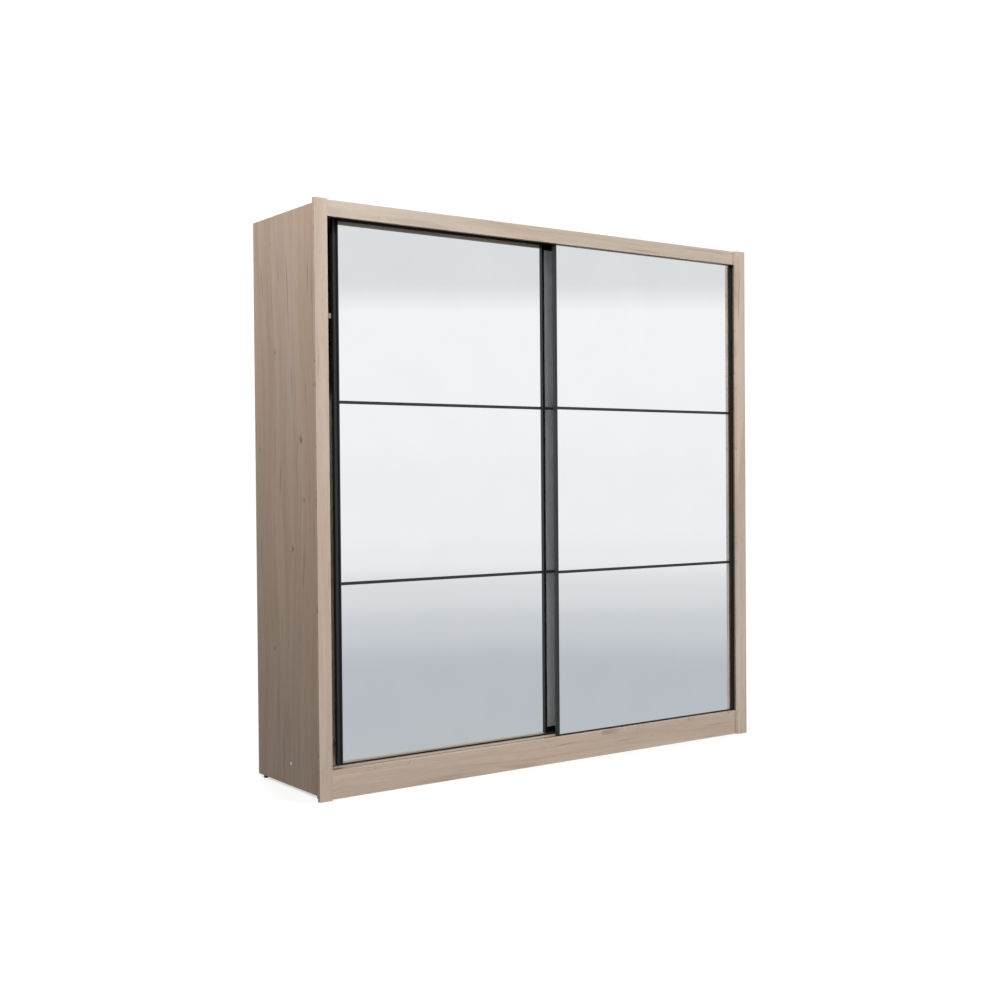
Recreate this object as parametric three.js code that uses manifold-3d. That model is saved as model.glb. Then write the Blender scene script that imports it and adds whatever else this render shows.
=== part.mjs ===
// Sliding door wardrobe: a board carcass with a proud front frame, and two mirror
// doors on twin tracks. Millimetres, +Z up, the front faces -Y, origin at the middle
// of the footprint on the floor.
import * as THREE from "three";
import { mergeVertices } from "three/addons/utils/BufferGeometryUtils.js";
import Module from "manifold-3d";

const wasm = await Module();
wasm.setup();

// ---------------------------------------------------------------- driving dimensions
const WIDTH = 2060; // over the front stiles
const HEIGHT = 2100;
const DEPTH = 550;

const STILE_W = 50; // front stiles
const FRAME_T = 16; // thickness of stiles, top rail and plinth
const STILE_OVERHANG = 20; // stile past the side panel
const BOARD = 18; // carcass board
const FOOT_H = 10; // gap under the side panels
const SIDE_TOP = 2091; // top of the carcass, below the frame's top
const RAIL_BOTTOM = 2043;
const FLOOR_TOP = 100; // upper face of the bottom panel
const BACK_T = 3;
const BACK_Y = 545.5; // front face of the back panels
const PARTITION_T = 16;
const INSIDE_Y = 112; // first depth that is free behind the rear door

const FRONT_DOOR_W = 965.5; // right door
const REAR_DOOR_W = 1036.5; // left door, wider so that the two close the opening
const REAR_DOOR_AJAR = 74; // how far the left door stands open as modelled
const DOOR_T = 18; // depth of the door profiles
const DOOR_FRONT_Y = 34; // front face of the front (right) door
const DOOR_STEP = 50; // front face to front face of the two doors
const OUTER_W = 22; // outer, grip profile
const MEETING_W = 10; // meeting profile
const MIRRORS_Z = 106.3; // lower edge of the mirrors on both doors
const LIP_TOP = 10.5; // top profile above the mirrors
const MIRROR_H = 639; // each of three
const MUNTIN_H = 10;
const MIRROR_T = 4;
const MIRROR_SET = 1.5; // mirrors behind the profile face
const BOARD_Y0 = 5.8; // door backing board
const BOARD_Y1 = 16.5;
const FRONT_DOOR_Z = 101.2; // underside of the front door
const REAR_DOOR_Z = 103;
const DOOR_GAP = 1; // closed door to the side panel

const WHEEL_R = 16;
const WHEEL_W = 5;
const WHEEL_BORE_R = 3;
const PIN_R = 2.5;
const WHEEL_Y = 11.2; // wheel centre behind the door's front face
const GROOVE_FLOOR = 92.8; // running surface of the bottom tracks
const WHEEL_Z = GROOVE_FLOOR + 0.2 + WHEEL_R;
const WHEEL_INSET = 90; // wheel centre from the door's end
const HOUSING_HALF = 34.7;
const HOUSING_H = 45.4;

const TRACK_HALF = 10; // half width of a bottom track
const TRACK_TOP = 99.8;
const TOP_TRACK_BOTTOM = 2058;

const HAT_SHELF_Z = 1700;
const SHELF_Z = [560, 1020, 1480];
const SHELF_Y0 = 120;
const RAIL_Y = 330;
const RAIL_Z = 1640;

// ---------------------------------------------------------------- materials
const material = (hex, roughness, metalness) =>
  new THREE.MeshStandardMaterial({ color: hex, roughness, metalness });
const oak = () => material(0xc4b09f, 0.55, 0);
const backBoard = () => material(0xcfc8bd, 0.7, 0);
const black = () => material(0x262626, 0.35, 0.6);
const glass = () => material(0xe6eaec, 0.03, 1);
const alu = () => material(0xc9c6bd, 0.35, 0.9);
const chrome = () => material(0xd5d7d9, 0.12, 1);
const plastic = () => material(0x2b2b2b, 0.5, 0);
const cap = () => material(0xc9bdb0, 0.5, 0);
const doorBoard = () => material(0x8d8b87, 0.7, 0);

// ---------------------------------------------------------------- helpers
const wardrobe = new THREE.Group();
wardrobe.position.set(0, -DEPTH / 2, 0); // depths below are counted from the frame's front

function add(group, name, geometry, mat) {
  const mesh = new THREE.Mesh(geometry, mat);
  mesh.name = name;
  group.add(mesh);
  return mesh;
}

function boxGeometry(x0, x1, y0, y1, z0, z1) {
  return new THREE.BoxGeometry(x1 - x0, y1 - y0, z1 - z0).translate(
    (x0 + x1) / 2,
    (y0 + y1) / 2,
    (z0 + z1) / 2,
  );
}

function shapeOf(points, holes = []) {
  const shape = new THREE.Shape(points.map(([a, b]) => new THREE.Vector2(a, b)));
  for (const hole of holes)
    shape.holes.push(new THREE.Path(hole.map(([a, b]) => new THREE.Vector2(a, b))));
  return shape;
}

// Section given in (y, z), run along X.
function alongX(points, x0, x1, holes) {
  const g = new THREE.ExtrudeGeometry(shapeOf(points, holes), {
    depth: x1 - x0,
    bevelEnabled: false,
  });
  return g.applyMatrix4(
    new THREE.Matrix4().set(0, 0, 1, x0, 1, 0, 0, 0, 0, 1, 0, 0, 0, 0, 0, 1),
  );
}

// Section given in (x, y), run along Z.
function alongZ(points, z0, z1) {
  return new THREE.ExtrudeGeometry(shapeOf(points), {
    depth: z1 - z0,
    bevelEnabled: false,
  }).translate(0, 0, z0);
}

// Outline given in (x, z), run along Y.
function alongY(points, y0, y1) {
  const g = new THREE.ExtrudeGeometry(shapeOf(points), {
    depth: y1 - y0,
    bevelEnabled: false,
  });
  return g.applyMatrix4(
    new THREE.Matrix4().set(1, 0, 0, 0, 0, 0, -1, y1, 0, 1, 0, 0, 0, 0, 0, 1),
  );
}

function toSolid(geometry) {
  const g = geometry.clone();
  g.deleteAttribute("normal");
  g.deleteAttribute("uv");
  const merged = mergeVertices(g, 1e-4);
  return new wasm.Manifold(
    new wasm.Mesh({
      numProp: 3,
      vertProperties: new Float32Array(merged.attributes.position.array),
      triVerts: new Uint32Array(merged.index.array),
    }),
  );
}

function toGeometry(solid) {
  const m = solid.getMesh();
  const g = new THREE.BufferGeometry();
  const positions = new Float32Array(m.numVert * 3);
  for (let i = 0; i < m.numVert; i++)
    for (let k = 0; k < 3; k++)
      positions[i * 3 + k] = m.vertProperties[i * m.numProp + k];
  g.setAttribute("position", new THREE.BufferAttribute(positions, 3));
  g.setIndex(new THREE.BufferAttribute(new Uint32Array(m.triVerts), 1));
  g.computeVertexNormals();
  return g;
}

function stadium(w, h, segments = 10) {
  // a flat-sided oval, w wide and h high, in the (y, z) plane
  const r = w / 2;
  const s = h / 2 - r;
  const points = [];
  for (let i = 0; i <= segments; i++) {
    const a = (Math.PI * i) / segments;
    points.push([r * Math.cos(a), s + r * Math.sin(a)]);
  }
  for (let i = 0; i <= segments; i++) {
    const a = Math.PI + (Math.PI * i) / segments;
    points.push([r * Math.cos(a), -s + r * Math.sin(a)]);
  }
  return points;
}

const shift = (points, dy, dz) => points.map(([y, z]) => [y + dy, z + dz]);

// ---------------------------------------------------------------- carcass
const halfW = WIDTH / 2;
const sideOuter = halfW - STILE_OVERHANG; // 1010
const sideInner = sideOuter - BOARD; // 992
const carcass = new THREE.Group();
wardrobe.add(carcass);

for (const [side, s] of [
  ["left", -1],
  ["right", 1],
]) {
  const a = s * sideOuter;
  const b = s * sideInner;
  add(
    carcass,
    "side_panel_" + side,
    boxGeometry(Math.min(a, b), Math.max(a, b), FRAME_T, BACK_Y, FOOT_H, SIDE_TOP),
    oak(),
  );
  const c = s * halfW;
  const d = s * (halfW - STILE_W);
  add(
    carcass,
    "front_stile_" + side,
    boxGeometry(Math.min(c, d), Math.max(c, d), 0, FRAME_T, 0, HEIGHT),
    oak(),
  );
  for (const [where, y] of [
    ["front", 60],
    ["rear", 500],
  ]) {
    const foot = new THREE.LatheGeometry(
      [
        new THREE.Vector2(0, 0),
        new THREE.Vector2(7.6, 0),
        new THREE.Vector2(8.6, 1.2),
        new THREE.Vector2(8.6, FOOT_H - 3),
        new THREE.Vector2(7.6, FOOT_H - 0.1),
        new THREE.Vector2(0, FOOT_H - 0.1),
      ],
      28,
    ).rotateX(Math.PI / 2);
    foot.translate((s * (sideOuter + sideInner)) / 2, y, 0);
    add(carcass, `foot_${side}_${where}`, foot, plastic());
  }
}

add(
  carcass,
  "top_rail",
  boxGeometry(-sideInner, sideInner, FRAME_T, 2 * FRAME_T, RAIL_BOTTOM, HEIGHT),
  oak(),
);
add(
  carcass,
  "plinth",
  boxGeometry(-sideInner, sideInner, FRAME_T, 2 * FRAME_T, 0, FLOOR_TOP - BOARD),
  oak(),
);
add(
  carcass,
  "top_panel",
  boxGeometry(-sideInner, sideInner, 2 * FRAME_T, BACK_Y, SIDE_TOP - BOARD, SIDE_TOP),
  oak(),
);

// The bottom panel has two long grooves, each with a track let into it.
const wheelFrontY = DOOR_FRONT_Y + WHEEL_Y;
const wheelRearY = wheelFrontY + DOOR_STEP;
const GROOVE_HALF = 3.5; // inside half width of the running groove
{
  const cut = TRACK_HALF + 0.3;
  const bed = GROOVE_FLOOR - 2;
  const z0 = FLOOR_TOP - BOARD;
  add(
    carcass,
    "bottom_panel",
    alongX(
      [
        [FRAME_T, z0],
        [BACK_Y, z0],
        [BACK_Y, FLOOR_TOP],
        [wheelRearY + cut, FLOOR_TOP],
        [wheelRearY + cut, bed],
        [wheelRearY - cut, bed],
        [wheelRearY - cut, FLOOR_TOP],
        [wheelFrontY + cut, FLOOR_TOP],
        [wheelFrontY + cut, bed],
        [wheelFrontY - cut, bed],
        [wheelFrontY - cut, FLOOR_TOP],
        [FRAME_T, FLOOR_TOP],
      ],
      -sideInner,
      sideInner,
    ),
    oak(),
  );
  for (const [where, y] of [
    ["front", wheelFrontY],
    ["rear", wheelRearY],
  ])
    add(
      carcass,
      "bottom_track_" + where,
      alongX(
        [
          [y - TRACK_HALF, bed + 0.3],
          [y + TRACK_HALF, bed + 0.3],
          [y + TRACK_HALF, TRACK_TOP],
          [y + GROOVE_HALF, TRACK_TOP],
          [y + GROOVE_HALF, GROOVE_FLOOR],
          [y - GROOVE_HALF, GROOVE_FLOOR],
          [y - GROOVE_HALF, TRACK_TOP],
          [y - TRACK_HALF, TRACK_TOP],
        ],
        -sideInner + 0.5,
        sideInner - 0.5,
      ),
      alu(),
    );
}

// The top track: a plate with four flanges that make two guide channels.
{
  const top = SIDE_TOP - BOARD - 0.1;
  const plate = top - 2;
  const b = TOP_TRACK_BOTTOM;
  const t = 1.5;
  const h = 7; // half width of a guide channel
  const y = [
    wheelFrontY - h - t,
    wheelFrontY - h,
    wheelFrontY + h,
    wheelFrontY + h + t,
    wheelRearY - h - t,
    wheelRearY - h,
    wheelRearY + h,
    wheelRearY + h + t,
  ];
  add(
    carcass,
    "top_track",
    alongX(
      [
        [y[0], b],
        [y[1], b],
        [y[1], plate],
        [y[2], plate],
        [y[2], b],
        [y[3], b],
        [y[3], plate],
        [y[4], plate],
        [y[4], b],
        [y[5], b],
        [y[5], plate],
        [y[6], plate],
        [y[6], b],
        [y[7], b],
        [y[7], top],
        [y[0], top],
      ],
      -sideInner + 0.5,
      sideInner - 0.5,
    ),
    alu(),
  );
}

add(
  carcass,
  "centre_partition",
  boxGeometry(
    -PARTITION_T / 2,
    PARTITION_T / 2,
    INSIDE_Y,
    BACK_Y,
    FLOOR_TOP,
    SIDE_TOP - BOARD,
  ),
  oak(),
);
add(
  carcass,
  "centre_support",
  boxGeometry(-PARTITION_T / 2, PARTITION_T / 2, 140, 500, 0, FLOOR_TOP - BOARD),
  oak(),
);
add(
  carcass,
  "hat_shelf",
  boxGeometry(
    -sideInner,
    -PARTITION_T / 2,
    SHELF_Y0,
    BACK_Y,
    HAT_SHELF_Z,
    HAT_SHELF_Z + BOARD,
  ),
  oak(),
);
["lower", "middle", "upper"].forEach((where, i) =>
  add(
    carcass,
    "shelf_" + where,
    boxGeometry(
      PARTITION_T / 2,
      sideInner,
      SHELF_Y0,
      BACK_Y,
      SHELF_Z[i],
      SHELF_Z[i] + BOARD,
    ),
    oak(),
  ),
);

// Hanging rail: an oval tube between two cups.
const railX0 = -sideInner + 3.3;
const railX1 = -PARTITION_T / 2 - 3.3;
add(
  carcass,
  "hanging_rail",
  alongX(
    shift(stadium(15, 30), RAIL_Y, RAIL_Z),
    railX0,
    railX1,
    [shift(stadium(12.4, 27.4), RAIL_Y, RAIL_Z).reverse()],
  ),
  chrome(),
);
for (const [side, x, dir] of [
  ["left", -sideInner, 1],
  ["right", -PARTITION_T / 2, -1],
]) {
  const span = (from, to) => [
    Math.min(x + dir * from, x + dir * to),
    Math.max(x + dir * from, x + dir * to),
  ];
  const plate = toSolid(
    alongX(shift(stadium(22, 46), RAIL_Y, RAIL_Z), ...span(0.1, 3)),
  );
  const ring = toSolid(
    alongX(shift(stadium(19, 34), RAIL_Y, RAIL_Z), ...span(2.5, 13), [
      shift(stadium(15.8, 30.8), RAIL_Y, RAIL_Z).reverse(),
    ]),
  );
  add(carcass, "rail_socket_" + side, toGeometry(plate.add(ring)), chrome());
}

// Back: two thin boards and the strip that covers their joint.
const BACK_EDGE = 1008;
const BACK_Z0 = 14;
const BACK_Z1 = 2088;
add(
  carcass,
  "back_panel_left",
  boxGeometry(-BACK_EDGE, -1.2, BACK_Y + 0.1, BACK_Y + 0.1 + BACK_T, BACK_Z0, BACK_Z1),
  backBoard(),
);
add(
  carcass,
  "back_panel_right",
  boxGeometry(1.2, BACK_EDGE, BACK_Y + 0.1, BACK_Y + 0.1 + BACK_T, BACK_Z0, BACK_Z1),
  backBoard(),
);
add(
  carcass,
  "back_joint_strip",
  alongZ(
    [
      [-0.9, BACK_Y + 0.4],
      [0.9, BACK_Y + 0.4],
      [0.9, BACK_Y + 0.2 + BACK_T],
      [12, BACK_Y + 0.2 + BACK_T],
      [12, DEPTH - 0.5],
      [10.5, DEPTH],
      [-10.5, DEPTH],
      [-12, DEPTH - 0.5],
      [-12, BACK_Y + 0.2 + BACK_T],
      [-0.9, BACK_Y + 0.2 + BACK_T],
    ],
    BACK_Z0,
    BACK_Z1,
  ),
  plastic(),
);

// Pale cap over the fixing of the bottom panel in the left side.
{
  const g = new THREE.LatheGeometry(
    [
      new THREE.Vector2(0, 0),
      new THREE.Vector2(6.5, 0),
      new THREE.Vector2(6.5, 0.7),
      new THREE.Vector2(5.4, 1.3),
      new THREE.Vector2(0, 1.5),
    ],
    28,
  ).rotateZ(Math.PI / 2);
  g.translate(-sideOuter - 0.05, 268, 91);
  add(carcass, "cover_cap", g, cap());
}

// ---------------------------------------------------------------- doors
// s = -1: outer edge on the left. s = 1: outer edge on the right.
function makeDoor(prefix, s, x0, width, yFront, zBottom) {
  const door = new THREE.Group();
  wardrobe.add(door);
  const x1 = x0 + width;
  const at = (fromOuter) => (s > 0 ? x1 - fromOuter : x0 + fromOuter);
  const span = (a, b) => [Math.min(at(a), at(b)), Math.max(at(a), at(b))];
  const mirrorsZ = MIRRORS_Z;
  const mirrorsTop = mirrorsZ + 3 * MIRROR_H + 2 * MUNTIN_H;
  const zTop = mirrorsTop + LIP_TOP;
  const yBack = yFront + DOOR_T;

  // Outer profile, with a finger groove down its face.
  const outer = [
    [0, 0.6],
    [0.6, 0],
    [4.4, 0],
    [5, 0.6],
    [5, 6],
    [7, 8],
    [15, 8],
    [17, 6],
    [17, 0.6],
    [17.6, 0],
    [21.4, 0],
    [OUTER_W, 0.6],
    [OUTER_W, DOOR_T],
    [0, DOOR_T],
  ].map(([u, v]) => [at(u), yFront + v]);
  add(
    door,
    prefix + "_outer_profile",
    alongZ(s > 0 ? outer.reverse() : outer, zBottom, zTop),
    black(),
  );

  // Meeting profile.
  const m0 = width - MEETING_W;
  const meeting = [
    [m0, 0.6],
    [m0 + 0.6, 0],
    [width - 0.8, 0],
    [width, 0.8],
    [width, DOOR_T - 0.8],
    [width - 0.8, DOOR_T],
    [m0, DOOR_T],
  ].map(([u, v]) => [at(u), yFront + v]);
  add(
    door,
    prefix + "_meeting_profile",
    alongZ(s > 0 ? meeting.reverse() : meeting, zBottom, zTop),
    black(),
  );

  const [fx0, fx1] = span(OUTER_W + 0.3, width - MEETING_W - 0.3);
  // Top profile: a channel over the top of mirrors and board.
  add(
    door,
    prefix + "_top_profile",
    alongX(
      [
        [yFront, mirrorsTop],
        [yFront + 1.3, mirrorsTop],
        [yFront + 1.3, zTop - 1.5],
        [yBack - 1.3, zTop - 1.5],
        [yBack - 1.3, zTop - 22],
        [yBack, zTop - 22],
        [yBack, zTop],
        [yFront, zTop],
      ],
      fx0,
      fx1,
    ),
    black(),
  );
  // Bottom profile: a channel, with a slot over each wheel.
  let bottom = toSolid(
    alongX(
      [
        [yFront, zBottom],
        [yBack, zBottom],
        [yBack, zBottom + 24],
        [yBack - 1.3, zBottom + 24],
        [yBack - 1.3, zBottom + 1.5],
        [yFront + 1.3, zBottom + 1.5],
        [yFront + 1.3, mirrorsZ],
        [yFront, mirrorsZ],
      ],
      fx0,
      fx1,
    ),
  );
  const wheelsX = [x0 + WHEEL_INSET, x1 - WHEEL_INSET];
  const slotY0 = yFront + WHEEL_Y - 3;
  const slotY1 = yFront + WHEEL_Y + 3;
  for (const wx of wheelsX)
    bottom = bottom.subtract(
      toSolid(boxGeometry(wx - 17.5, wx + 17.5, slotY0, slotY1, zBottom - 2, zBottom + 3)),
    );
  add(door, prefix + "_bottom_profile", toGeometry(bottom), black());

  // Three mirrors and the two bars between them.
  const levels = ["bottom", "middle", "top"];
  for (let i = 0; i < 3; i++) {
    const z0 = mirrorsZ + i * (MIRROR_H + MUNTIN_H) + 0.3;
    add(
      door,
      `${prefix}_mirror_${levels[i]}`,
      boxGeometry(
        fx0,
        fx1,
        yFront + MIRROR_SET,
        yFront + MIRROR_SET + MIRROR_T,
        z0,
        z0 + MIRROR_H - 0.6,
      ),
      glass(),
    );
  }
  for (const [i, where] of [
    [1, "lower"],
    [2, "upper"],
  ]) {
    const z0 = mirrorsZ + i * MIRROR_H + (i - 1) * MUNTIN_H;
    add(
      door,
      `${prefix}_muntin_${where}`,
      boxGeometry(fx0, fx1, yFront + 0.6, yFront + 5.5, z0, z0 + MUNTIN_H),
      black(),
    );
  }

  // Backing board, notched over the roller housings.
  const bz0 = zBottom + 1.8;
  const bz1 = zTop - 1.8;
  const nz = bz0 + HOUSING_H + 0.3;
  const n = HOUSING_HALF + 0.3;
  add(
    door,
    prefix + "_backing_board",
    alongY(
      [
        [fx0, bz0],
        [wheelsX[0] - n, bz0],
        [wheelsX[0] - n, nz],
        [wheelsX[0] + n, nz],
        [wheelsX[0] + n, bz0],
        [wheelsX[1] - n, bz0],
        [wheelsX[1] - n, nz],
        [wheelsX[1] + n, nz],
        [wheelsX[1] + n, bz0],
        [fx1, bz0],
        [fx1, bz1],
        [fx0, bz1],
      ],
      yFront + BOARD_Y0,
      yFront + BOARD_Y1,
    ),
    doorBoard(),
  );

  ["a", "b"].forEach((tag, i) => {
    const wx = wheelsX[i];
    const cy = yFront + WHEEL_Y;
    let housing = toSolid(
      boxGeometry(
        wx - HOUSING_HALF,
        wx + HOUSING_HALF,
        yFront + BOARD_Y0 + 0.2,
        yFront + BOARD_Y1 - 0.2,
        bz0,
        bz0 + HOUSING_H,
      ),
    );
    housing = housing.subtract(
      toSolid(boxGeometry(wx - 17.5, wx + 17.5, slotY0, slotY1, bz0 - 2, WHEEL_Z + WHEEL_R + 2)),
    );
    const pin = new THREE.CylinderGeometry(PIN_R, PIN_R, 7, 24);
    pin.translate(wx, cy, WHEEL_Z);
    housing = housing.add(toSolid(pin));
    add(door, `${prefix}_roller_housing_${tag}`, toGeometry(housing), plastic());

    const hub = new THREE.LatheGeometry(
      [
        new THREE.Vector2(WHEEL_BORE_R, -WHEEL_W / 2),
        new THREE.Vector2(WHEEL_R - 0.8, -WHEEL_W / 2),
        new THREE.Vector2(WHEEL_R, -WHEEL_W / 2 + 0.8),
        new THREE.Vector2(WHEEL_R, WHEEL_W / 2 - 0.8),
        new THREE.Vector2(WHEEL_R - 0.8, WHEEL_W / 2),
        new THREE.Vector2(WHEEL_BORE_R, WHEEL_W / 2),
        new THREE.Vector2(WHEEL_BORE_R, -WHEEL_W / 2),
      ],
      40,
    );
    const wheel = new THREE.Group();
    wheel.position.set(wx, cy, WHEEL_Z);
    wardrobe.add(wheel);
    add(wheel, `wheel_${prefix}_${tag}`, hub, plastic());

    // Guide on top of the door, with a tongue in the top track.
    const base = toSolid(
      boxGeometry(wx - 20, wx + 20, yFront + 3, yFront + 15.4, zTop + 0.1, zTop + 3),
    );
    const tongue = toSolid(
      boxGeometry(wx - 14, wx + 14, cy - 4, cy + 4, zTop + 2.5, zTop + 15.5),
    );
    add(door, `${prefix}_top_guide_${tag}`, toGeometry(base.add(tongue)), plastic());
  });
}

makeDoor(
  "right",
  1,
  sideInner - DOOR_GAP - FRONT_DOOR_W,
  FRONT_DOOR_W,
  DOOR_FRONT_Y,
  FRONT_DOOR_Z,
);
makeDoor(
  "left",
  -1,
  -sideInner + DOOR_GAP + REAR_DOOR_AJAR,
  REAR_DOOR_W,
  DOOR_FRONT_Y + DOOR_STEP,
  REAR_DOOR_Z,
);

export default wardrobe;
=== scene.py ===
# Looks of the sliding door wardrobe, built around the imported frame. Metres, +Z up, front faces -Y.
import math
import bpy
from mathutils import Matrix, Vector

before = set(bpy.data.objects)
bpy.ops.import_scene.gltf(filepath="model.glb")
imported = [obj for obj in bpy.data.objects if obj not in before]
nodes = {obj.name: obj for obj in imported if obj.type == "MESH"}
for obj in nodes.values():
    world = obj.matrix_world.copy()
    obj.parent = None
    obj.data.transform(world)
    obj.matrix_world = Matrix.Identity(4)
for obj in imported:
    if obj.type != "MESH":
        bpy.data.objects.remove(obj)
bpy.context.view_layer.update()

scene = bpy.context.scene

# ------------------------------------------------------------------ camera
cam_data = bpy.data.cameras.new("camera")
cam = bpy.data.objects.new("camera", cam_data)
scene.collection.objects.link(cam)
scene.camera = cam
F_PX = 1377.3373989734403
CX = 580.0
yaw, pitch, roll = (math.radians(v) for v in (37.48903377441778, -0.9957484373377342, -0.39226318752191613))
fwd = Vector((math.sin(yaw) * math.cos(pitch), math.cos(yaw) * math.cos(pitch), math.sin(pitch)))
right = Vector((math.cos(yaw), -math.sin(yaw), 0))
up = right.cross(fwd)
right2 = right * math.cos(roll) + up * math.sin(roll)
up2 = -right * math.sin(roll) + up * math.cos(roll)
loc = Vector((-3.209431848217078, -4.337435330740043 - 0.275, 1.1297978375245993))
m = Matrix.Identity(4)
for i in range(3):
    m[i][0], m[i][1], m[i][2], m[i][3] = right2[i], up2[i], -fwd[i], loc[i]
cam.matrix_world = m
cam_data.sensor_width = 36.0
cam_data.lens = F_PX / 1000 * 36.0
cam_data.shift_x = (500 - CX) / 1000
cam_data.shift_y = 0.0
cam_data.clip_start, cam_data.clip_end = 0.05, 200

scene.view_settings.view_transform = "Standard"
scene.view_settings.look = "None"


# ------------------------------------------------------------------ node helpers
class Tree:
    def __init__(self, owner):
        self.t = owner.node_tree
        self.t.nodes.clear()

    def n(self, kind, **props):
        node = self.t.nodes.new(kind)
        for k, v in props.items():
            setattr(node, k, v)
        return node

    def l(self, a, b):
        self.t.links.new(a, b)

    def put(self, socket, value):
        if isinstance(value, bpy.types.NodeSocket):
            self.l(value, socket)
        else:
            socket.default_value = value

    def math(self, op, a, b=0.0, c=0.0, clamp=False):
        node = self.n("ShaderNodeMath", operation=op, use_clamp=clamp)
        for s, v in zip(node.inputs, (a, b, c)):
            self.put(s, v)
        return node.outputs[0]

    def mix(self, f, a, b, blend="MIX"):
        node = self.n("ShaderNodeMix", data_type="RGBA", blend_type=blend, clamp_factor=True)
        self.put(node.inputs[0], f)
        self.put(node.inputs[6], a)
        self.put(node.inputs[7], b)
        return node.outputs[2]

    def ramp(self, f, stops, interpolation="LINEAR"):
        node = self.n("ShaderNodeValToRGB")
        node.color_ramp.interpolation = interpolation
        el = node.color_ramp.elements
        while len(el) < len(stops):
            el.new(0.5)
        for e, (p, c) in zip(el, stops):
            e.position = p
            e.color = (*c, 1) if isinstance(c, (tuple, list)) else (c, c, c, 1)
        self.put(node.inputs[0], f)
        return node.outputs[0]

    def noise(self, vec, scale, detail=2.0, rough=0.5, dist=0.0):
        node = self.n("ShaderNodeTexNoise")
        self.put(node.inputs["Vector"], vec)
        node.inputs["Scale"].default_value = scale
        node.inputs["Detail"].default_value = detail
        node.inputs["Roughness"].default_value = rough
        node.inputs["Distortion"].default_value = dist
        return node.outputs[0]

    def xyz(self, x, y, z):
        node = self.n("ShaderNodeCombineXYZ")
        for s, v in zip(node.inputs, (x, y, z)):
            self.put(s, v)
        return node.outputs[0]


def lin(r, g, b):
    f = lambda c: c / 255 / 12.92 if c / 255 <= 0.04045 else ((c / 255 + 0.055) / 1.055) ** 2.4
    return (f(r), f(g), f(b))


def new_material(name):
    mat = bpy.data.materials.new(name)
    mat.use_nodes = True
    t = Tree(mat)
    bsdf = t.n("ShaderNodeBsdfPrincipled")
    out = t.n("ShaderNodeOutputMaterial")
    t.l(bsdf.outputs[0], out.inputs[0])
    return mat, t, bsdf


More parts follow.
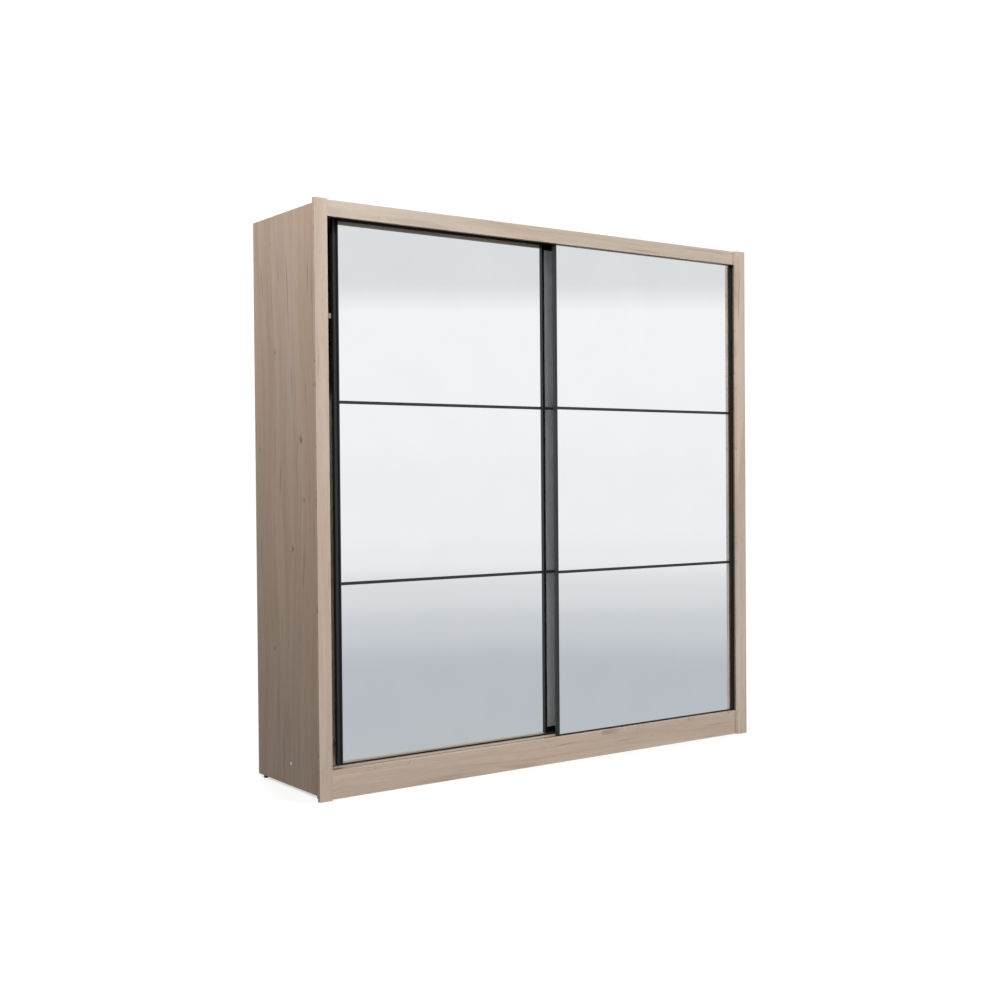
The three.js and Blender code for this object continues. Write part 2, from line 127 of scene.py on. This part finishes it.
# Oak decor. grain: the row axis the grain runs along. flat: the row axis across the grain on the wide face.
def oak(name, grain, cross, seed, knots=(), tint=(1.0, 1.0, 1.0), contrast=1.0, edge=None):
    mat, t, bsdf = new_material(name)
    tc = t.n("ShaderNodeTexCoord")
    sep = t.n("ShaderNodeSeparateXYZ")
    t.l(tc.outputs["Object"], sep.inputs[0])
    ax = {"X": 0, "Y": 1, "Z": 2}
    rest = next(a for a in "XYZ" if a not in (grain, cross))
    u, v, w = (sep.outputs[ax[a]] for a in (grain, cross, rest))
    vj = t.math("ADD", v, seed * 1.37)
    uj = t.math("ADD", u, seed * 2.11)

    # slow wander that bends the grain
    slow = t.noise(t.xyz(t.math("MULTIPLY", uj, 0.9), t.math("MULTIPLY", vj, 2.6), w), 1.0, 2.0)
    wander = t.math("MULTIPLY", t.math("SUBTRACT", slow, 0.5), 0.16)
    vb = t.math("ADD", vj, wander)
    knot_dark = None
    for ku, kv, kr in knots:
        du = t.math("MULTIPLY", t.math("SUBTRACT", u, ku), 0.85)
        dv = t.math("SUBTRACT", v, kv)
        d = t.math("SQRT", t.math("ADD", t.math("MULTIPLY", du, du), t.math("MULTIPLY", dv, dv)))
        bend = t.math("DIVIDE", kr * 0.5, t.math("ADD", d, kr * 0.9))
        vb = t.math("ADD", vb, t.math("MULTIPLY", bend, kr * 2.2))
        ragged = t.noise(t.xyz(t.math("MULTIPLY", uj, 45.0), t.math("MULTIPLY", vj, 80.0), w), 1.0, 3.0, 0.6)
        k = t.ramp(t.math("ADD", t.math("DIVIDE", d, kr), t.math("MULTIPLY", ragged, 1.1)), [(0.35, 1.0), (0.75, 0.55), (1.25, 0.0)])
        knot_dark = k if knot_dark is None else t.math("MAXIMUM", knot_dark, k)

    # cathedral growth lines
    period = t.math("MULTIPLY", vb, 46.0)
    jitter = t.noise(t.xyz(t.math("MULTIPLY", uj, 1.6), t.math("MULTIPLY", vb, 9.0), w), 1.0, 3.0)
    saw = t.math("FRACT", t.math("ADD", period, t.math("MULTIPLY", jitter, 6.0)))
    line = t.ramp(saw, [(0.0, 0.0), (0.55, 0.25), (0.86, 1.0), (1.0, 0.0)])
    # broad streaks, fine fibres and short dark pores
    streak = t.noise(t.xyz(t.math("MULTIPLY", uj, 0.7), t.math("MULTIPLY", vb, 17.0), w), 1.0, 4.0, 0.6)
    blotch = t.noise(t.xyz(t.math("MULTIPLY", uj, 1.9), t.math("MULTIPLY", vb, 5.5), w), 1.0, 3.0, 0.55)
    fibre = t.noise(t.xyz(t.math("MULTIPLY", uj, 5.0), t.math("MULTIPLY", vb, 330.0), w), 1.0, 4.0, 0.65)
    pore_n = t.noise(t.xyz(t.math("MULTIPLY", uj, 26.0), t.math("MULTIPLY", vb, 620.0), w), 1.0, 2.0, 0.5)
    pore = t.ramp(pore_n, [(0.60, 0.0), (0.70, 1.0)])
    dash_n = t.noise(t.xyz(t.math("MULTIPLY", uj, 2.4), t.math("MULTIPLY", vb, 42.0), t.math("ADD", w, 7.0)), 1.0, 2.0, 0.5)
    dash = t.ramp(dash_n, [(0.64, 0.0), (0.76, 1.0)])

    # long bands that alternate brown and grey, and narrower ones inside them
    band = t.noise(t.xyz(t.math("MULTIPLY", uj, 0.45), t.math("MULTIPLY", vb, 13.0), t.math("ADD", w, 3.0)), 1.0, 2.0, 0.5)
    narrow = t.noise(t.xyz(t.math("MULTIPLY", uj, 0.9), t.math("MULTIPLY", vb, 38.0), t.math("ADD", w, 5.0)), 1.0, 3.0, 0.6)
    # thin dark checks, a hand's length or so
    check_n = t.noise(t.xyz(t.math("MULTIPLY", uj, 3.2), t.math("MULTIPLY", vb, 85.0), t.math("ADD", w, 11.0)), 1.0, 1.0, 0.4)
    check = t.ramp(check_n, [(0.68, 0.0), (0.76, 1.0)])

    s = (1.03 * tint[0], tint[1], 1.01 * tint[2])
    shade = lambda *rgb: (*tuple(c * k for c, k in zip(lin(*rgb), s)), 1)
    light, mid, dark, grey = shade(208, 191, 174), shade(198, 180, 162), shade(174, 154, 136), shade(190, 178, 164)
    brown = shade(184, 162, 141)
    col = t.ramp(streak, [(0.28, dark[:3]), (0.47, mid[:3]), (0.72, light[:3])])
    col = t.mix(t.ramp(blotch, [(0.42, 0.0), (0.70, 0.55)]), col, grey)
    col = t.mix(t.ramp(band, [(0.44, 0.0), (0.60, 0.42 * contrast)]), col, brown)
    col = t.mix(t.ramp(band, [(0.36, 0.34 * contrast), (0.48, 0.0)]), col, grey)
    col = t.mix(t.ramp(narrow, [(0.50, 0.0), (0.72, 0.48 * contrast)]), col, dark)
    col = t.mix(t.math("MULTIPLY", line, 0.17 * contrast), col, dark)
    col = t.mix(t.ramp(fibre, [(0.40, 0.0), (0.75, 0.22)]), col, dark)
    col = t.mix(t.math("MULTIPLY", dash, 0.30 * contrast), col, shade(128, 106, 88))
    col = t.mix(t.math("MULTIPLY", check, 0.46 * contrast), col, shade(112, 90, 74))
    col = t.mix(t.math("MULTIPLY", pore, 0.26), col, shade(120, 100, 84))
    if knot_dark is not None:
        col = t.mix(t.math("MULTIPLY", knot_dark, 0.85), col, shade(98, 78, 62))
    if edge is not None:
        # painted shade: the face square to X that points away from the middle is darkened by the side tint, as the
        # side boards are
        sign, side_shade_tint = edge
        geo = t.n("ShaderNodeNewGeometry")
        nsep = t.n("ShaderNodeSeparateXYZ")
        t.l(geo.outputs["True Normal"], nsep.inputs[0])
        side_face = t.math("GREATER_THAN", t.math("MULTIPLY", nsep.outputs[0], sign), 0.7)
        col = t.mix(side_face, col, (*side_shade_tint, 1), "MULTIPLY")
    t.l(col, bsdf.inputs["Base Color"])
    rough = t.math("ADD", 0.50, t.math("MULTIPLY", t.math("ADD", fibre, pore), 0.10))
    t.l(rough, bsdf.inputs["Roughness"])
    bsdf.inputs["Specular IOR Level"].default_value = 0.35
    height = t.math("SUBTRACT", t.math("MULTIPLY", fibre, 0.35), t.math("ADD", pore, t.math("MULTIPLY", line, 0.25)))
    bump = t.n("ShaderNodeBump")
    bump.inputs["Strength"].default_value = 0.18
    bump.inputs["Distance"].default_value = 0.0004
    t.l(height, bump.inputs["Height"])
    t.l(bump.outputs[0], bsdf.inputs["Normal"])
    return mat


def plain(name, rgb, rough, metal=0.0, grain=None, spot=0.06, bump_m=0.00006, scale=900.0, spec=0.5):
    """Moulded, painted or drawn stock: a fine speckle in colour, roughness and bump, stretched along grain on drawn metal."""
    mat, t, bsdf = new_material(name)
    tc = t.n("ShaderNodeTexCoord")
    mp = t.n("ShaderNodeMapping")
    t.l(tc.outputs["Object"], mp.inputs["Vector"])
    if grain is not None:
        mp.inputs["Scale"].default_value = tuple(0.01 if a == grain else 1.0 for a in "XYZ")
    fine = t.noise(mp.outputs[0], scale, 3.0, 0.6)
    broad = t.noise(tc.outputs["Object"], 6.0, 3.0, 0.5)
    a = tuple(c * (1 - spot) for c in rgb)
    b = tuple(min(1.0, c * (1 + spot)) for c in rgb)
    col = t.ramp(t.math("ADD", t.math("MULTIPLY", fine, 0.6), t.math("MULTIPLY", broad, 0.4)), [(0.35, a), (0.65, b)])
    t.l(col, bsdf.inputs["Base Color"])
    t.l(t.math("ADD", rough - 0.04, t.math("MULTIPLY", fine, 0.08)), bsdf.inputs["Roughness"])
    bsdf.inputs["Metallic"].default_value = metal
    bsdf.inputs["Specular IOR Level"].default_value = spec
    bump = t.n("ShaderNodeBump")
    bump.inputs["Strength"].default_value = 0.25
    bump.inputs["Distance"].default_value = bump_m
    t.l(fine, bump.inputs["Height"])
    t.l(bump.outputs[0], bsdf.inputs["Normal"])
    return mat


def mirror_material():
    """Silvered float glass: near-perfect reflection with a faint cool tint and the slow ripple of real glass."""
    mat, t, bsdf = new_material("mirror_glass")
    tc = t.n("ShaderNodeTexCoord")
    ripple = t.noise(tc.outputs["Object"], 2.2, 1.0, 0.4)
    haze = t.noise(tc.outputs["Object"], 5.0, 3.0, 0.5)
    t.l(t.ramp(haze, [(0.3, lin(243, 246, 247)), (0.7, lin(246, 248, 249))]), bsdf.inputs["Base Color"])
    t.l(t.math("ADD", 0.004, t.math("MULTIPLY", haze, 0.008)), bsdf.inputs["Roughness"])
    bsdf.inputs["Metallic"].default_value = 1.0
    bump = t.n("ShaderNodeBump")
    bump.inputs["Strength"].default_value = 0.05
    bump.inputs["Distance"].default_value = 0.0004
    t.l(ripple, bump.inputs["Height"])
    t.l(bump.outputs[0], bsdf.inputs["Normal"])
    return mat


def give(node_name, mat):
    o = nodes[node_name]
    o.data.materials.clear()
    o.data.materials.append(mat)


def bevel(node_name, width, segments=2):
    o = nodes[node_name]
    # the loaded mesh is split along its sharp edges, so they are joined before they are rounded
    weld = o.modifiers.new("join", "WELD")
    weld.merge_threshold = 0.00001
    mod = o.modifiers.new("edge", "BEVEL")
    mod.width = width
    mod.segments = segments
    mod.limit_method = "ANGLE"
    mod.angle_limit = math.radians(40)
    mod.harden_normals = False


# ------------------------------------------------------------------ boards
Y0 = -0.275
# side boards' tint, darker than the front boards: painted shade for the lesser light on the sides, also laid on the
# stiles' outer side faces
SIDE_SHADE = (0.605, 0.580, 0.562)
side_knots = (
    (1.265, 0.160 + Y0, 0.036),
    (0.874, 0.233 + Y0, 0.026),
    (1.050, 0.141 + Y0, 0.020),
    (1.590, 0.365 + Y0, 0.018),
    (0.500, 0.392 + Y0, 0.022),
    (1.236, 0.505 + Y0, 0.024),
)
# tints per board: the side boards' darker tint is painted shade; the front boards' tints (stiles, top rail, plinth)
# are fitted to how bright each board comes out, partly its tone and partly painted light and shade
boards = {
    "side_panel_left": ("Z", "Y", 1.0, side_knots, SIDE_SHADE, 1.5),
    "side_panel_right": ("Z", "Y", 4.3, ((0.92, 0.21 + Y0, 0.016), (1.56, 0.36 + Y0, 0.012)), SIDE_SHADE, 1.5),
    "front_stile_left": ("Z", "X", 2.2, (), (0.97, 0.99, 1.01), 0.9),
    "front_stile_right": ("Z", "X", 5.1, (), (1.10, 1.15, 1.20), 0.9),
    "top_rail": ("X", "Z", 3.4, (), (1.03, 1.11, 1.14), 0.8),
    "plinth": ("X", "Z", 6.7, (), (1.02, 1.04, 1.04), 0.9),
    "top_panel": ("X", "Y", 7.9, (), 0.96, 1.2),
    "bottom_panel": ("X", "Y", 8.8, (), 1.0, 1.0),
    "centre_partition": ("Z", "Y", 9.6, (), 0.96, 1.0),
    "centre_support": ("X", "Z", 10.2, (), 0.96, 1.0),
    "hat_shelf": ("X", "Y", 11.5, (), 0.96, 1.0),
    "shelf_lower": ("X", "Y", 12.6, (), 0.96, 1.0),
    "shelf_middle": ("X", "Y", 13.3, (), 0.96, 1.0),
    "shelf_upper": ("X", "Y", 14.8, (), 0.96, 1.0),
}
for name, (grain, cross, seed, knots, tint, contrast) in boards.items():
    tint = tint if isinstance(tint, tuple) else (tint,) * 3
    # the stiles' outer side faces get the side boards' painted shade
    edge = {"front_stile_left": (-1.0, SIDE_SHADE), "front_stile_right": (1.0, SIDE_SHADE)}.get(name)
    give(name, oak("oak_" + name, grain, cross, seed, knots, tint, contrast, edge))
    bevel(name, 0.0008, 2)

hdf = plain("back_hdf", lin(206, 198, 186), 0.62, scale=420.0, spot=0.05)
door_board = plain("door_board", lin(236, 236, 233), 0.6, scale=520.0, spot=0.07)
black = plain("black_aluminium", lin(36, 36, 37), 0.34, metal=0.0, grain="Z", scale=1400.0, spot=0.10, spec=0.45)
black_x = plain("black_aluminium_across", lin(36, 36, 37), 0.34, metal=0.0, grain="X", scale=1400.0, spot=0.10, spec=0.45)
track = plain("track_aluminium", lin(200, 189, 172), 0.34, metal=0.85, grain="X", scale=1600.0, spot=0.05)
chrome = plain("rail_chrome", lin(215, 217, 219), 0.10, metal=1.0, grain="X", scale=1200.0, spot=0.02, bump_m=0.00001)
dark_plastic = plain("black_plastic", lin(38, 38, 39), 0.52, scale=1500.0, spot=0.12)
wheel_plastic = plain("grey_plastic", lin(176, 175, 170), 0.42, scale=1100.0, spot=0.05)
pale_plastic = plain("pale_plastic", lin(206, 196, 184), 0.45, scale=900.0, spot=0.05)
mirror = mirror_material()

for n in ("back_panel_left", "back_panel_right"):
    give(n, hdf)
give("back_joint_strip", pale_plastic)
give("cover_cap", pale_plastic)
for n in ("top_track", "bottom_track_front", "bottom_track_rear"):
    give(n, track)
for n in ("hanging_rail", "rail_socket_left", "rail_socket_right"):
    give(n, chrome)
for n in ("foot_left_front", "foot_left_rear", "foot_right_front", "foot_right_rear"):
    give(n, dark_plastic)
for d in ("left", "right"):
    for k in ("outer_profile", "meeting_profile"):
        give(f"{d}_{k}", black)
        bevel(f"{d}_{k}", 0.0003, 2)
    for k in ("top_profile", "bottom_profile", "muntin_upper", "muntin_lower"):
        give(f"{d}_{k}", black_x)
        bevel(f"{d}_{k}", 0.0003, 2)
    for k in ("top", "middle", "bottom"):
        give(f"{d}_mirror_{k}", mirror)
        bevel(f"{d}_mirror_{k}", 0.0005, 2)
    give(f"{d}_backing_board", door_board)
    for tag in "ab":
        give(f"{d}_roller_housing_{tag}", dark_plastic)
        give(f"{d}_top_guide_{tag}", dark_plastic)
        bevel(f"{d}_top_guide_{tag}", 0.0008, 2)
        give(f"wheel_{d}_{tag}", wheel_plastic)

# ------------------------------------------------------------------ studio
def plane(name, size, z, mat):
    me = bpy.data.meshes.new(name)
    h = size / 2
    me.from_pydata([(-h, -h, z), (h, -h, z), (h, h, z), (-h, h, z)], [], [(0, 1, 2, 3)])
    me.materials.append(mat)
    o = bpy.data.objects.new(name, me)
    scene.collection.objects.link(o)
    return o


# floor that the camera sees: pale, fading into the white surroundings
fm = bpy.data.materials.new("studio_floor")
fm.use_nodes = True
t = Tree(fm)
geo = t.n("ShaderNodeNewGeometry")
length = t.n("ShaderNodeVectorMath", operation="LENGTH")
t.l(geo.outputs["Position"], length.inputs[0])
tc = t.n("ShaderNodeTexCoord")
speck = t.noise(tc.outputs["Object"], 40.0, 3.0)
diff = t.n("ShaderNodeBsdfDiffuse")
t.l(t.ramp(speck, [(0.3, (0.90, 0.905, 0.91)), (0.7, (0.93, 0.935, 0.94))]), diff.inputs["Color"])
em = t.n("ShaderNodeEmission")
em.inputs["Color"].default_value = (1, 1, 1, 1)
em.inputs["Strength"].default_value = 1.05
mixs = t.n("ShaderNodeMixShader")
t.l(t.ramp(t.math("DIVIDE", length.outputs["Value"], 6.0), [(0.12, 0.55), (0.36, 1.0)], "EASE"), mixs.inputs[0])
t.l(diff.outputs[0], mixs.inputs[1])
t.l(em.outputs[0], mixs.inputs[2])
out = t.n("ShaderNodeOutputMaterial")
t.l(mixs.outputs[0], out.inputs[0])
floor = plane("studio_floor", 120.0, -0.0005, fm)
floor.visible_glossy = False
floor.visible_diffuse = False

# floor that the mirrors see: a glowing plane whose grey-blue near the object, paler further off, is painted floor
# shade
gm = bpy.data.materials.new("studio_floor_reflected")
gm.use_nodes = True
t = Tree(gm)
geo = t.n("ShaderNodeNewGeometry")
length = t.n("ShaderNodeVectorMath", operation="LENGTH")
sub = t.n("ShaderNodeVectorMath", operation="SUBTRACT")
t.l(geo.outputs["Position"], sub.inputs[0])
sub.inputs[1].default_value = (0.0, -0.25, 0.0)
t.l(sub.outputs[0], length.inputs[0])
dist = t.math("DIVIDE", length.outputs["Value"], 24.0)
em = t.n("ShaderNodeEmission")
t.l(t.ramp(dist, [(0.0, lin(191, 196, 199)), (0.11, lin(191, 195, 200)), (0.20, lin(209, 211, 215)), (0.32, lin(225, 226, 228)), (0.55, lin(242, 243, 245)), (1.0, lin(246, 247, 248))], "EASE"), em.inputs["Color"])
em.inputs["Strength"].default_value = 1.0
out = t.n("ShaderNodeOutputMaterial")
t.l(em.outputs[0], out.inputs[0])
floor2 = plane("studio_floor_reflected", 120.0, -0.0010, gm)
floor2.visible_camera = False
floor2.visible_diffuse = False
floor2.visible_shadow = False
floor2.visible_transmission = False

# surroundings and lamps
KEY, LEFT, RIGHT, BACK, SIDE_POWER, WORLD_FILL = 740.0, 46.0, 235.0, 220.0, 70.0, 0.36
world = bpy.data.worlds.new("studio")
scene.world = world
world.use_nodes = True
t = Tree(world)
tc = t.n("ShaderNodeTexCoord")
sep = t.n("ShaderNodeSeparateXYZ")
t.l(tc.outputs["Generated"], sep.inputs[0])
z = sep.outputs[2]
seen = t.ramp(t.math("MULTIPLY_ADD", z, 2.0, 0.5), [(0.0, lin(246, 247, 248)), (0.5, lin(246, 247, 248)), (0.55, lin(249, 250, 251)), (0.735, lin(252, 252, 252)), (0.775, lin(228, 228, 229)), (1.0, lin(227, 227, 228))])
light = t.ramp(t.math("MULTIPLY_ADD", z, 0.5, 0.5), [(0.0, 0.10), (0.40, 0.20), (0.55, 0.50), (1.0, 0.80)])
lp = t.n("ShaderNodeLightPath")
bg_light = t.n("ShaderNodeBackground")
t.l(light, bg_light.inputs[0])
t.l(t.math("MULTIPLY", t.math("MULTIPLY_ADD", sep.outputs[1], -0.5, 0.5), WORLD_FILL), bg_light.inputs[1])
bg_seen = t.n("ShaderNodeBackground")
t.l(seen, bg_seen.inputs[0])
bg_seen.inputs[1].default_value = 1.0
bg_white = t.n("ShaderNodeBackground")
bg_white.inputs[0].default_value = (1, 1, 1, 1)
bg_white.inputs[1].default_value = 1.05
m1 = t.n("ShaderNodeMixShader")
m2 = t.n("ShaderNodeMixShader")
out = t.n("ShaderNodeOutputWorld")
t.l(lp.outputs["Is Glossy Ray"], m1.inputs[0])
t.l(bg_light.outputs[0], m1.inputs[1])
t.l(bg_seen.outputs[0], m1.inputs[2])
t.l(lp.outputs["Is Camera Ray"], m2.inputs[0])
t.l(m1.outputs[0], m2.inputs[1])
t.l(bg_white.outputs[0], m2.inputs[2])
t.l(m2.outputs[0], out.inputs[0])


def area(name, location, target, size, power, color=(1, 1, 1)):
    d = bpy.data.lights.new(name, "AREA")
    d.shape = "RECTANGLE"
    d.size, d.size_y = size
    d.energy = power
    d.color = color
    o = bpy.data.objects.new(name, d)
    o.location = location
    o.rotation_mode = "QUATERNION"
    o.rotation_quaternion = (Vector(target) - Vector(location)).to_track_quat("-Z", "Y")
    scene.collection.objects.link(o)
    o.visible_glossy = False
    o.visible_camera = False
    return o


area("key", (-4.6, -7.4, 6.0), (0.0, 0.0, 1.2), (0.9, 0.9), KEY)
area("left", (-2.7, -0.40, 3.1), (-1.0, -0.05, 1.7), (0.6, 0.6), LEFT)
area("right", (4.6, -6.6, 4.6), (0.6, -0.2, 1.2), (1.6, 1.6), RIGHT)
area("back", (0.9, 5.6, 3.2), (0.0, 0.3, 1.0), (2.2, 2.2), BACK)
area("right_side", (4.6, 0.35, 2.8), (1.0, 0.0, 1.0), (1.4, 1.4), SIDE_POWER)
